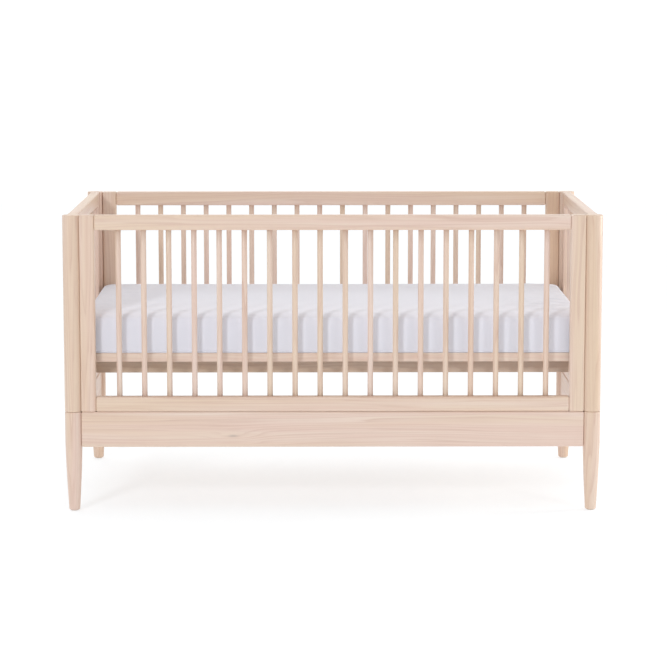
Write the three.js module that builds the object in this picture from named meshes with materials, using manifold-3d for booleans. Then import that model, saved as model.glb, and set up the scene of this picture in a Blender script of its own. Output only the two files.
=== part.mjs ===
// Baby crib: turned corner posts on tapered legs, four spindle sides, three
// apron boards, a height-adjustable slatted mattress support and a mattress.
// Millimetres. X runs along the length, -Y is the front, +Z is up. The origin
// is on the floor under the middle of the crib.
import * as THREE from 'three';
import { mergeVertices } from 'three/addons/utils/BufferGeometryUtils.js';
import Module from 'manifold-3d';

const wasm = await Module();
wasm.setup();

// ---- How finely round solids are cut and meshed -----------------------------
const round_sides = 24; // posts, legs and glides
const spindle_sides = 8;
const hole_sides = 12;
const taper_steps = 6;
const weld_distance = 1e-4;
const cut_overrun = 1; // how far a cutter reaches past what it cuts

// ---- Overall sizes, outside to outside ------------------------------------
const crib_length = 1400;
const crib_width = 787;
const crib_height = 778;

// ---- Clearances -----------------------------------------------------------
const touch_gap = 0.3; // between pieces that bear on each other
const mattress_end_gap = 9.5; // between the mattress and an end frame
const mattress_side_gap = 12.5; // between the mattress and a side frame
const support_inset = 0.5; // the support is this much shorter than the mattress

// ---- Turned posts and legs ------------------------------------------------
const post_diameter = 45;
const post_edge = 1.5; // chamfer round the post's ends
const leg_height = 263; // floor to the joint between leg and post
const foot_diameter = 28.2;
const foot_round = 3;
const taper_height = 185; // the leg tapers from here down
const taper_power = 1.35; // how gently the taper starts
const leg_tenon_diameter = 20;
const leg_tenon_length = 28;
const glide_diameter = 20;
const glide_thickness = 2;

// ---- Frames: stiles, rails and spindles -----------------------------------
const board_thickness = 25;
const board_edge = 2; // eased long edges
const stile_width = 37.5; // from the post's flank to the opening
const top_rail_height = 39;
const bottom_rail_height = 39.7;
const tenon_length = 18;
const tenon_thickness = 10;
const tenon_shoulder = 6; // rail material above and below a tenon
const spindle_diameter = 14.5;
const spindle_depth = 12; // how far a spindle enters each rail
const side_spindles = 18;
const end_spindles = 9;
const end_gap_extra = 3.4; // the gap beside a stile is this much wider

// ---- Aprons ---------------------------------------------------------------
const apron_height = 93;
const apron_tenon_length = 10;

// ---- Mattress -------------------------------------------------------------
const mattress_thickness = 104;
const mattress_corner = 20;
const mattress_edge = 14; // rounded top edge; the bottom edge is square
const mattress_base_height = 413.3; // floor to the mattress's underside

// ---- Mattress support -----------------------------------------------------
const support_rail_height = 23;
const support_rail_width = 30;
const ledge_width = 12;
const slat_width = 62;
const slat_thickness = 12;
const slat_count = 12;
const bearer_thickness = 20;
const bearer_drop = 38; // how far the bearers hang below the support's rails
const bearer_setback = 60;
const bearer_housing = 2; // how deep a bearer is let into each slat

// ---- Steel corner brackets ------------------------------------------------
const bracket_steel = 3;
const bracket_width = 30;
const bracket_reach = 44; // under the support
const bracket_rise = 66; // up the stile
const bracket_hole_margin = 15; // centre of the bolt hole below the bracket's top
const bracket_hole_diameter = 8;

// ---- Derived places -------------------------------------------------------
const post_radius = post_diameter / 2;
const post_x = crib_length / 2 - post_radius;
const post_y = crib_width / 2 - post_radius;
const cope_radius = post_radius + touch_gap;
const half_board = board_thickness / 2;
const opening_x = post_x - post_radius - stile_width;
const opening_y = post_y - post_radius - stile_width;
const top_rail_bottom = crib_height - top_rail_height;
const bottom_rail_bottom = leg_height + touch_gap;
const bottom_rail_top = bottom_rail_bottom + bottom_rail_height;
const apron_bottom = leg_height - apron_height;
const mattress_x = post_x - half_board - mattress_end_gap;
const mattress_y = post_y - half_board - mattress_side_gap;
const support_x = mattress_x - support_inset;
const support_y = mattress_y;
const support_top = mattress_base_height - touch_gap;
const support_bottom = support_top - support_rail_height;
const slat_bottom = support_top - slat_thickness;
const bearer_bottom = support_bottom - bearer_drop;

// ---- Materials ------------------------------------------------------------
const wood = (color) => new THREE.MeshStandardMaterial({ color, roughness: 0.6, metalness: 0 });
const pine = wood(0xe1cebe);
const pine_deck = wood(0xdcc3a6);
const steel = new THREE.MeshStandardMaterial({ color: 0xb9bbbe, roughness: 0.4, metalness: 1 });
const plastic = new THREE.MeshStandardMaterial({ color: 0xe6e2dc, roughness: 0.5, metalness: 0 });
const cotton = new THREE.MeshStandardMaterial({ color: 0xeeeef4, roughness: 0.9, metalness: 0 });

// ---- Solids: joining and cutting ------------------------------------------
function solid(geometry) {
  geometry.deleteAttribute('normal');
  geometry.deleteAttribute('uv');
  const merged = mergeVertices(geometry, weld_distance);
  return new wasm.Manifold(new wasm.Mesh({
    numProp: 3,
    vertProperties: new Float32Array(merged.attributes.position.array),
    triVerts: new Uint32Array(merged.index.array),
  }));
}

function geometry_of(manifold) {
  const mesh = manifold.getMesh();
  const geometry = new THREE.BufferGeometry();
  geometry.setAttribute('position', new THREE.BufferAttribute(mesh.vertProperties, 3));
  geometry.setIndex(new THREE.BufferAttribute(mesh.triVerts, 1));
  return geometry;
}

function box(low, high) {
  const size = high.map((value, axis) => value - low[axis]);
  const geometry = new THREE.BoxGeometry(...size);
  geometry.translate(...low.map((value, axis) => value + size[axis] / 2));
  return solid(geometry);
}

// A round solid standing on Z, from its half section as [radius, height] pairs.
function turned(section, sides, x = 0, y = 0) {
  const points = section.map(([radius, height]) => new THREE.Vector2(radius, height));
  const geometry = new THREE.LatheGeometry(points, sides);
  geometry.rotateX(Math.PI / 2);
  geometry.translate(x, y, 0);
  return solid(geometry);
}

function round_bar(diameter, low, high, sides, x, y) {
  const radius = diameter / 2;
  return turned([[0, low], [radius, low], [radius, high], [0, high]], sides, x, y);
}

// A shape in the XY plane, drawn out along Z.
function drawn_up(shape, low, high, curve_segments = 8) {
  const settings = { depth: high - low, bevelEnabled: false, curveSegments: curve_segments };
  const geometry = new THREE.ExtrudeGeometry(shape, settings);
  geometry.translate(0, 0, low);
  return solid(geometry);
}

function rounded_rectangle(half_x, half_y, radius) {
  const shape = new THREE.Shape();
  shape.moveTo(-half_x + radius, -half_y);
  shape.absarc(half_x - radius, -half_y + radius, radius, -Math.PI / 2, 0);
  shape.absarc(half_x - radius, half_y - radius, radius, 0, Math.PI / 2);
  shape.absarc(-half_x + radius, half_y - radius, radius, Math.PI / 2, Math.PI);
  shape.absarc(-half_x + radius, -half_y + radius, radius, Math.PI, Math.PI * 1.5);
  return shape;
}

function polygon(points) {
  return new THREE.Shape(points.map(([x, y]) => new THREE.Vector2(x, y)));
}

// An eased board lying along X at the origin's height: length, depth in Y, height in Z.
function eased_board(half_length, half_depth, low, high, edge = board_edge) {
  const section = polygon([
    [-half_depth + edge, low], [half_depth - edge, low], [half_depth, low + edge],
    [half_depth, high - edge], [half_depth - edge, high], [-half_depth + edge, high],
    [-half_depth, high - edge], [-half_depth, low + edge],
  ]);
  const settings = { depth: 2 * half_length, bevelEnabled: false };
  const geometry = new THREE.ExtrudeGeometry(section, settings);
  geometry.translate(0, 0, -half_length);
  geometry.applyMatrix4(new THREE.Matrix4().set(0, 0, 1, 0, 1, 0, 0, 0, 0, 1, 0, 0, 0, 0, 0, 1));
  return solid(geometry);
}

// ---- The scene graph ------------------------------------------------------
const crib = new THREE.Group();

function add(name, manifold, material, parent = crib) {
  const mesh = new THREE.Mesh(geometry_of(manifold), material);
  mesh.name = name;
  parent.add(mesh);
  return mesh;
}

// ---- One side of the crib, drawn along X through the origin's XZ plane -----
// reach is the distance from the middle to the corner posts' centres, and
// opening from the middle to a stile's inner edge.
function spindle_centres(opening, count) {
  const free = 2 * opening - count * spindle_diameter - 2 * end_gap_extra;
  const pitch = free / (count + 1) + spindle_diameter;
  return Array.from({ length: count }, (_, i) => (i - (count - 1) / 2) * pitch);
}

function tenon(opening, low, high, clearance) {
  const reach = opening + tenon_length + clearance;
  const half = tenon_thickness / 2 + clearance;
  return box(
    [-reach, -half, low + tenon_shoulder - clearance],
    [reach, half, high - tenon_shoulder + clearance],
  );
}

function stile(reach, opening, hand) {
  const arc = Math.asin(half_board / cope_radius);
  const shape = new THREE.Shape();
  shape.moveTo(opening, -half_board + board_edge);
  shape.lineTo(opening + board_edge, -half_board);
  shape.absarc(reach, 0, cope_radius, Math.PI + arc, Math.PI - arc, true);
  shape.lineTo(opening + board_edge, half_board);
  shape.lineTo(opening, half_board - board_edge);
  shape.closePath();
  const board = drawn_up(shape, leg_height + touch_gap, crib_height)
    .subtract(tenon(opening, top_rail_bottom, crib_height, touch_gap))
    .subtract(tenon(opening, bottom_rail_bottom, bottom_rail_top, touch_gap));
  return hand > 0 ? board : board.rotate([0, 0, 180]);
}

const spindle_low = bottom_rail_top - spindle_depth;
const spindle_high = top_rail_bottom + spindle_depth;

function sockets(centres) {
  const low = spindle_low - touch_gap;
  const high = spindle_high + touch_gap;
  const width = spindle_diameter + 2 * touch_gap;
  const cutters = centres.map((x) => round_bar(width, low, high, spindle_sides, x, 0));
  return wasm.Manifold.union(cutters);
}

function rail(opening, low, high) {
  return eased_board(opening - touch_gap, half_board, low, high)
    .add(tenon(opening, low, high, 0));
}

function top_rail(opening, centres) {
  return rail(opening, top_rail_bottom, crib_height).subtract(sockets(centres));
}

function bottom_rail(opening) {
  return rail(opening, bottom_rail_bottom, bottom_rail_top);
}

function spindle(x) {
  return round_bar(spindle_diameter, spindle_low, spindle_high, spindle_sides, x, 0);
}

function spindle_grid(opening, centres) {
  const bars = centres.map((x) => spindle(x));
  return bottom_rail(opening).add(wasm.Manifold.union(bars));
}

// ---- Posts, legs and glides -----------------------------------------------
function leg_radius(height) {
  const down = Math.max(0, (taper_height - height) / taper_height);
  return post_radius - (post_diameter - foot_diameter) / 2 * down ** taper_power;
}

function post_solid() {
  const low = leg_height + touch_gap;
  const socket = leg_tenon_diameter / 2 + touch_gap;
  const socket_top = leg_height + leg_tenon_length + touch_gap;
  return turned([
    [0, socket_top], [socket, socket_top], [socket, low],
    [post_radius - post_edge, low], [post_radius, low + post_edge],
    [post_radius, crib_height - post_edge], [post_radius - post_edge, crib_height],
    [0, crib_height],
  ], round_sides);
}

function leg_solid() {
  const low = glide_thickness + touch_gap;
  const taper_low = low + foot_round;
  const taper = Array.from({ length: taper_steps }, (_, i) => {
    const height = taper_low + (taper_height - taper_low) * i / (taper_steps - 1);
    return [leg_radius(height), height];
  });
  const tenon_radius = leg_tenon_diameter / 2;
  return turned([
    [0, low], [leg_radius(low) - foot_round, low], ...taper,
    [post_radius, leg_height - post_edge], [post_radius - post_edge, leg_height],
    [tenon_radius, leg_height], [tenon_radius, leg_height + leg_tenon_length],
    [0, leg_height + leg_tenon_length],
  ], round_sides);
}

function apron_tenon(flank, clearance) {
  const reach = flank + apron_tenon_length + clearance;
  const half = tenon_thickness / 2 + clearance;
  const low = apron_bottom + 2 * tenon_shoulder - clearance;
  const high = leg_height - 2 * tenon_shoulder + clearance;
  return box([-reach, -half, low], [reach, half, high]);
}

// An apron is coped to the legs at both ends and tenoned into them.
function apron(reach) {
  const flank = reach - post_radius;
  const low = apron_bottom - cut_overrun;
  const high = leg_height + cut_overrun;
  const arc_cut = [-1, 1].map((hand) => (
    round_bar(2 * cope_radius, low, high, round_sides, hand * reach, 0)));
  return eased_board(flank + post_radius / 2, half_board, apron_bottom, leg_height)
    .subtract(wasm.Manifold.union(arc_cut))
    .add(apron_tenon(flank, 0));
}

const corners = [
  ['front_left', -1, -1], ['front_right', 1, -1], ['rear_left', -1, 1], ['rear_right', 1, 1],
];

for (const [corner, across, along] of corners) {
  const x = across * post_x;
  const y = along * post_y;
  const end_mortise = apron_tenon(post_y - post_radius, touch_gap).rotate([0, 0, 90]);
  let leg = leg_solid().translate([x, y, 0]).subtract(end_mortise.translate([x, 0, 0]));
  if (along < 0) {
    const front_mortise = apron_tenon(post_x - post_radius, touch_gap);
    leg = leg.subtract(front_mortise.translate([0, y, 0]));
  }
  add(`${corner}_post`, post_solid().translate([x, y, 0]), pine);
  add(`${corner}_leg`, leg, pine);
  add(`${corner}_glide`, round_bar(glide_diameter, 0, glide_thickness, round_sides, x, y), plastic);
}

// ---- Front and rear sides -------------------------------------------------
const side_centres = spindle_centres(opening_x, side_spindles);

for (const [side, along] of [['front', -1], ['rear', 1]]) {
  const group = new THREE.Group();
  group.position.y = along * post_y;
  crib.add(group);
  add(`${side}_left_stile`, stile(post_x, opening_x, -1), pine, group);
  add(`${side}_right_stile`, stile(post_x, opening_x, 1), pine, group);
  add(`${side}_top_rail`, top_rail(opening_x, side_centres), pine, group);
  if (side === 'front') {
    const drilled = bottom_rail(opening_x).subtract(sockets(side_centres));
    add('front_bottom_rail', drilled, pine, group);
    side_centres.forEach((x, i) => {
      add(`front_spindle_${String(i + 1).padStart(2, '0')}`, spindle(x), pine, group);
    });
  } else {
    add('rear_spindle_grid', spindle_grid(opening_x, side_centres), pine, group);
  }
}

// ---- Left and right ends --------------------------------------------------
const end_centres = spindle_centres(opening_y, end_spindles);

for (const [end, across] of [['left', -1], ['right', 1]]) {
  const group = new THREE.Group();
  group.position.x = across * post_x;
  group.rotation.z = Math.PI / 2;
  crib.add(group);
  add(`${end}_end_front_stile`, stile(post_y, opening_y, -1), pine, group);
  add(`${end}_end_rear_stile`, stile(post_y, opening_y, 1), pine, group);
  add(`${end}_end_top_rail`, top_rail(opening_y, end_centres), pine, group);
  add(`${end}_end_spindle_grid`, spindle_grid(opening_y, end_centres), pine, group);
  add(`${end}_end_apron`, apron(post_y), pine, group);
}

add('front_apron', apron(post_x).translate([0, -post_y, 0]), pine);

// ---- Mattress support -----------------------------------------------------
// The side rails are rebated: the slats' ends lie on the ledge.
function support_side_rail(along) {
  const inner = support_y - support_rail_width;
  const ledge_edge = inner + ledge_width;
  const upright = box([-support_x, ledge_edge, support_bottom], [support_x, support_y, support_top]);
  const ledge_top = slat_bottom - touch_gap;
  const ledge = box([-support_x, inner, support_bottom], [support_x, ledge_edge + 1, ledge_top]);
  const whole = upright.add(ledge);
  return along > 0 ? whole : whole.rotate([0, 0, 180]);
}

function support_end_rail(across) {
  const inner = support_x - support_rail_width;
  const half = support_y - support_rail_width - touch_gap;
  const whole = box([inner, -half, support_bottom], [support_x, half, support_top]);
  return across > 0 ? whole : whole.rotate([0, 0, 180]);
}

function slat_deck() {
  const half_y = support_y - support_rail_width + ledge_width - touch_gap;
  const half_x = support_x - support_rail_width - touch_gap;
  const gap = (2 * half_x - slat_count * slat_width) / (slat_count + 1);
  const pieces = Array.from({ length: slat_count }, (_, i) => {
    const low = -half_x + gap + i * (slat_width + gap);
    return box([low, -half_y, slat_bottom], [low + slat_width, half_y, support_top]);
  });
  const outer = support_y - bearer_setback;
  const top = slat_bottom + bearer_housing;
  pieces.push(box([-half_x, -outer, bearer_bottom], [half_x, -outer + bearer_thickness, top]));
  pieces.push(box([-half_x, outer - bearer_thickness, bearer_bottom], [half_x, outer, top]));
  return wasm.Manifold.union(pieces);
}

// An angle of folded steel: one leg lies under the support, the other rises
// up the stile's inner face and is bolted to it.
function corner_bracket(across, along) {
  const face = post_y - half_board - touch_gap;
  const shelf_top = support_bottom - touch_gap;
  const low = shelf_top - bracket_steel;
  const high = low + bracket_rise;
  const centre = opening_x + stile_width / 2;
  const left = centre - bracket_width / 2;
  const right = centre + bracket_width / 2;
  const shelf = box([left, face - bracket_reach, low], [right, face, shelf_top]);
  const plate = box([left, face - bracket_steel, low], [right, face, high]);
  const hole = round_bar(bracket_hole_diameter, -2 * bracket_steel, 2 * bracket_steel, hole_sides, 0, 0)
    .rotate([90, 0, 0])
    .translate([centre, face, high - bracket_hole_margin]);
  const rear_right = shelf.add(plate).subtract(hole);
  const rear = across > 0 ? rear_right : rear_right.mirror([1, 0, 0]);
  return along > 0 ? rear : rear.mirror([0, 1, 0]);
}

for (const [name, along] of [['front', -1], ['rear', 1]]) {
  add(`support_${name}_rail`, support_side_rail(along), pine_deck);
}
for (const [name, across] of [['left', -1], ['right', 1]]) {
  add(`support_${name}_rail`, support_end_rail(across), pine_deck);
}
add('slat_deck', slat_deck(), pine_deck);
for (const [corner, across, along] of corners) {
  add(`${corner}_bracket`, corner_bracket(across, along), steel);
}

// ---- Mattress in its fitted sheet -----------------------------------------
function mattress_solid() {
  const shape = rounded_rectangle(
    mattress_x - mattress_edge, mattress_y - mattress_edge, mattress_corner - mattress_edge);
  const settings = {
    depth: mattress_thickness - 2 * mattress_edge,
    bevelEnabled: true,
    bevelThickness: mattress_edge,
    bevelSize: mattress_edge,
    bevelSegments: 3,
    curveSegments: 4,
  };
  const geometry = new THREE.ExtrudeGeometry(shape, settings);
  geometry.translate(0, 0, mattress_base_height + mattress_edge);
  const plan = rounded_rectangle(mattress_x, mattress_y, mattress_corner);
  const middle = mattress_base_height + mattress_thickness / 2;
  const lower_half = drawn_up(plan, mattress_base_height, middle, settings.curveSegments);
  return solid(geometry).add(lower_half);
}

add('mattress', mattress_solid(), cotton);

export default crib;
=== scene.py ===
"""A baby crib in pale washed pine with a white fitted sheet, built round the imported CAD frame.

Metres, +X along the crib, -Y out of its front, +Z up. Sizes and places that the CAD settles are read
from the frame. Each wooden piece carries its own grain in point attributes, which say how its vertices
lie in the board, shifted by a seeded amount, so that no two boards are cut from the same place.
"""

import math
import random

import bmesh
import bpy
from mathutils import Matrix, Vector, noise


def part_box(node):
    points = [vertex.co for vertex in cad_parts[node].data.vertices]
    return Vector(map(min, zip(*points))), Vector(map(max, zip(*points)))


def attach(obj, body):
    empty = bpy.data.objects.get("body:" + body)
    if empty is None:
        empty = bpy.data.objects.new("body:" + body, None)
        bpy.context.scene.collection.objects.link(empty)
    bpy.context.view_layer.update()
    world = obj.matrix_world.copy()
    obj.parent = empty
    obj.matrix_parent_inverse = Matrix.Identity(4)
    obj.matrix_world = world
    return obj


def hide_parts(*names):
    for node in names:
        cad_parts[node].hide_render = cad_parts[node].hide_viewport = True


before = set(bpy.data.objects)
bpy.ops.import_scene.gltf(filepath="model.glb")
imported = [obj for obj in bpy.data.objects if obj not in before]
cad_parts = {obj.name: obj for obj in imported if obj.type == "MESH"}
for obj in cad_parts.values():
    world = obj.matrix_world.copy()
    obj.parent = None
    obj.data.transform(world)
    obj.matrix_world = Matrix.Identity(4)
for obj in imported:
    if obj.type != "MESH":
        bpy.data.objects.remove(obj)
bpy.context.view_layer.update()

MM = 0.001
TOUCH_GAP = 0.3 * MM  # between CAD solids that touch
FRAME, SUPPORT, MATTRESS = "crib_frame", "mattress_support", "mattress"
CORNERS = {"front_left": (-1, -1), "front_right": (1, -1), "rear_left": (-1, 1), "rear_right": (1, 1)}

# Eased edges
BOARD_EDGE = 3.6 * MM
STILE_END_EDGE = 0.7 * BOARD_EDGE
RAIL_END_EDGE = 3.0 * MM
POST_EDGE = 2.0 * MM
FOOT_EDGE = 2.6 * MM
SLAT_EDGE = 1.5 * MM
BRACKET_EDGE = 0.5 * MM
GLIDE_EDGE = 0.8 * MM
LEAST_CORNER = 0.05 * MM
EDGE_STEPS = 4
SLAT_EDGE_STEPS = 3
ARRIS_FULLNESS = 1.3  # 1 is a flat chamfer, 2 a quarter round
COPE_STEPS = 8

# Turned pieces
SPINDLE_SIDES = 32
SPINDLE_LEVELS = 8
SPINDLE_ENTRY = 4.0 * MM  # how far the scene's spindles enter their rails
POST_SIDES = 64
LEG_LEVELS = 26
GLIDE_SIDES = 40

# Bolts, and the threaded inserts of the two lower settings
HOLE_DROP = 15.0 * MM  # from a bracket's top to its bolt
BOLT_HEAD_RADIUS = 6.5 * MM
BOLT_HEAD_HEIGHT = 4.0 * MM
BOLT_RIM = 0.8 * MM
DOME_STEPS = 6
WASHER_RADIUS = 8.0 * MM
WASHER_HEIGHT = 1.2 * MM
WASHER_EDGE = 0.25 * MM
WASHER_FLANK = 0.8 * WASHER_HEIGHT
SOCKET_RADIUS = 2.9 * MM
SOCKET_DEPTH = 2.2 * MM
SOCKET_TAPER = 0.97
DOME_TOP_RADIUS = SOCKET_RADIUS * 1.25
BOLT_SIDES = 36
INSERT_RADIUS = 5.0 * MM
INSERT_BORE = 3.0 * MM
INSERT_DEPTH = 9.0 * MM
INSERT_THREADS = 7
INSERT_PROUD = 0.1 * MM
INSERT_CHAMFER = 0.5 * MM
THREAD_DEPTH = 0.5 * MM
HOLE_FLOOR = 1.0 * MM  # the insert stops this far above the bottom of its hole
HOLE_CLEARANCE = 0.1 * MM
CUT_PAST = 1.0 * MM
SETTING_STEP = 75.0 * MM
METAL_CREASE = math.radians(35)
HOLE_CREASE = math.radians(40)

# Pine: patterns in each metre across (twice) and along a board
DRIFT_SCALE = (9.0, 9.0, 1.6)
DRIFT_REACH = (0.034, 0.034, 0.0)
RING_STRETCH = (1.0, 1.0, 0.03)
RINGS = 130.0
SPACING_SCALE = (38.0, 38.0, 0.9)
SPACING_RINGS = 5.5
MARK_SCALE = (30.0, 30.0, 1.3)
ROSY_SCALE = (52.0, 52.0, 1.1)
WARM_SCALE = (24.0, 24.0, 0.8)
FIBRE_SCALE = (900.0, 900.0, 16.0)
STREAK_SCALE = (260.0, 260.0, 3.0)
WARM_SHARE = 0.7
LATE_SHARE = 0.62
STREAK_SHARE = 0.5
FIBRE_SHARE = 0.35
GRAIN_RISE = 0.00022
KNOT_STRETCH = (1.0, 1.0, 0.28)
KNOT_REACH = 20.0 * MM
KNOT_EYE = 3.2 * MM
KNOT_SWELL = 14.0 * MM
EYE_SHARE = 0.6

# What sets one board apart from the next
AGED = (0.93, 0.86, 0.785)  # what full tone multiplies a board's colour by
BLUSH = (0.0, 0.022, 0.012)  # what the pinkest board loses
TONE_SPREAD = 0.08
BLUSH_SPREAD = (-0.35, 1.0)
HEART_SPREAD = (0.6, 1.5)
CUT_SPREAD = 3.0  # metres along the tree
NO_KNOT = (5.0, 5.0, 5.0)  # so far off that it doesn't show
BOARD_HEART = 0.09  # from a board to the heart of its tree
APRON_HEART = 0.12
POST_HEART = 0.05
SPINDLE_HEART = 0.03
SPINDLE_BLUSH = 1.7

# Each piece's tone, from 0 to 1: the wood's own ageing, and also painted light and shade, where pieces are
# set lighter or darker one by one to make up for the light the lamps give them
FRONT_TONE = 0.12
REAR_TONE = 0.55
# the right front post is darker than the other posts: painted shade
RIGHT_POST_PAINTED_SHADE_TONE = FRONT_TONE + 0.45
# the rear-left stile is the lightest of the four: painted light on the dim inner corner
STILE_TONES = {"front_left": 0.25, "front_right": 0.05, "rear_left": 0.0, "rear_right": 0.75}
SIDE_TONES = {"front": 0.0, "rear": 0.15}
SILL_TONE = 0.32  # what a long side's bottom rail has over its top rail
END_TONE = 0.15
END_TOP_TONE = 0.1
END_SILL_TONE = 0.2
APRON_TONE = 0.05
SUPPORT_SIDE_TONE = 0.1
SUPPORT_END_TONE = 0.2
SLAT_TONE = 0.25
BEARER_TONE = 0.0

# Mattress and sheet
PLAN_CORNER = 20.0 * MM
LEAST_PLAN_CORNER = 2.0 * MM
CORNER_SHRINK = 0.7
PLAN_CORNER_STEPS = 10
TOP_EDGE = 7.0 * MM
BOTTOM_EDGE = 2.5 * MM
ROLL_STEPS = 6
CROWN_DROP = 6.5 * MM
CROWN_REACH = 70.0 * MM
CORE_CLEARANCE = 1.6 * MM
CORE_VOXEL = 12.0 * MM
SHEET_VOXEL = 8.0 * MM
SHEET_TUCK = 70.0 * MM
UNDERSIDE = 2.0 * MM  # faces below this height lie under the mattress
PIPING_RADIUS = 2.3 * MM
PIPING_INSET = 1.0 * MM
PIPING_LIFT = 0.2 * MM
PIPING_SIDES = 12
PIPING_CORNER_STEPS = 12

# The sheet's cloth simulation
CLOTH_FRAMES = 14
CLOTH_QUALITY = 5
CLOTH_MASS = 0.2
CLOTH_STIFFNESS = 12.0
CLOTH_SHEAR = 6.0
CLOTH_BENDING = 0.25
CLOTH_GROWTH = 0.03
CLOTH_PRESSURE = 0.12
CLOTH_OUT = 1.2 * MM
CLOTH_IN = 0.6 * MM
PINNED_HEIGHT = 6.0 * MM
END_GATHER = 110.0 * MM
CORNER_GATHER = 200.0 * MM
END_SLACK = 0.45
CORNER_SLACK = 0.75
EVEN_SLACK = 0.04

# The sheet's wrinkles
WRINKLE_PITCH = 30.0 * MM
WRINKLE_REACH = 150.0 * MM
WRINKLE_HEIGHT = 4.6 * MM
WRINKLE_SHARPNESS = 4.5
WRINKLE_FAN = 0.35
WRINKLE_DRIFT = 1.6
WRINKLE_SEEDS = (1.7, 8.1)  # left end, right end
LONG_FOLD_HEIGHT = 1.1 * MM
LONG_FOLD_SCALE = (2.2, 5.0)
LONG_FOLD_SEED = 4.4

# Studio
FLOOR_CELLS = 24
FLOOR_HALF = 9.0
CAMERA_PLACE = (-0.0417, -6.912, 1.370)
CAMERA_PITCH, CAMERA_YAW = -7.854, -0.383
CAMERA_LENS = 136.85
CAMERA_SENSOR = 36.0


# ---- Node materials ----

class Nodes:
    """A short way to write a node tree: each call adds a node and wires what it is given."""

    def __init__(self, name):
        self.material = bpy.data.materials.new(name)
        self.material.use_nodes = True
        self.tree = self.material.node_tree
        self.shader = self.tree.nodes["Principled BSDF"]

    def add(self, kind, inputs=None, **settings):
        node = self.tree.nodes.new(kind)
        for key, value in settings.items():
            setattr(node, key, value)
        for key, value in (inputs or {}).items():
            self.set(node.inputs[key], value)
        return node

    def set(self, socket, value):
        if isinstance(value, bpy.types.NodeSocket):
            self.tree.links.new(value, socket)
        else:
            socket.default_value = value

    def math(self, operation, a, b=0.0, c=0.0):
        node = self.add("ShaderNodeMath", {0: a, 1: b, 2: c}, operation=operation)
        return node.outputs[0]

    def vectors(self, operation, a, b):
        return self.add("ShaderNodeVectorMath", {0: a, 1: b}, operation=operation).outputs[0]

    def length(self, vector):
        return self.add("ShaderNodeVectorMath", {0: vector}, operation="LENGTH").outputs["Value"]

    def attribute(self, layer):
        return self.add("ShaderNodeAttribute", attribute_name=layer).outputs["Vector"]

    def place(self):
        return self.add("ShaderNodeTexCoord").outputs["Object"]

    def noise(self, vector, scale, detail=2.0, roughness=0.5, output="Fac"):
        """Noise with a scale of its own along each axis."""
        stretched = self.vectors("MULTIPLY", vector, scale)
        inputs = {"Vector": stretched, "Scale": 1.0, "Detail": detail, "Roughness": roughness}
        return self.add("ShaderNodeTexNoise", inputs).outputs[output]

    def falloff(self, distance, reach):
        """A bell curve, 1 where the distance is nothing."""
        share = self.math("MULTIPLY", distance, 1 / reach)
        return self.math("EXPONENT", self.math("MULTIPLY", self.math("MULTIPLY", share, share), -1.0))

    def above(self, value, level, share):
        """A share of what the value has over a level."""
        return self.math("MULTIPLY", self.math("SUBTRACT", value, level), share)

    def ramp(self, factor, stops):
        """A grey ramp through (position, brightness) stops."""
        node = self.add("ShaderNodeValToRGB", {"Fac": factor})
        ramp = node.color_ramp
        while len(ramp.elements) < len(stops):
            ramp.elements.new(0.5)
        for element, (position, value) in zip(ramp.elements, stops):
            element.position = position
            element.color = (value, value, value, 1.0)
        return node.outputs["Color"]

    def mix(self, factor, a, b, blend="MIX"):
        node = self.add("ShaderNodeMix", data_type="RGBA", blend_type=blend)
        self.set(node.inputs["Factor"], factor)
        self.set(node.inputs["A"], a if isinstance(a, bpy.types.NodeSocket) else (*a, 1.0))
        self.set(node.inputs["B"], b if isinstance(b, bpy.types.NodeSocket) else (*b, 1.0))
        return node.outputs["Result"]

    def paint(self, colour, roughness):
        self.set(self.shader.inputs["Base Color"], colour)
        self.set(self.shader.inputs["Roughness"], roughness)

    def bump(self, height, strength, distance):
        inputs = {"Height": height, "Strength": strength, "Distance": distance}
        self.set(self.shader.inputs["Normal"], self.add("ShaderNodeBump", inputs).outputs["Normal"])

    def plain(self, **values):
        """Values that are the same all over go straight on the shader's own sockets."""
        for key, value in values.items():
            self.shader.inputs[key.replace("_", " ")].default_value = value


def linear(red, green, blue):
    """A colour given as 0-255 screen values, as the linear values that a shader takes."""
    def one(value):
        value /= 255
        return value / 12.92 if value <= 0.04045 else ((value + 0.055) / 1.055) ** 2.4
    return (one(red), one(green), one(blue))


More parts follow.
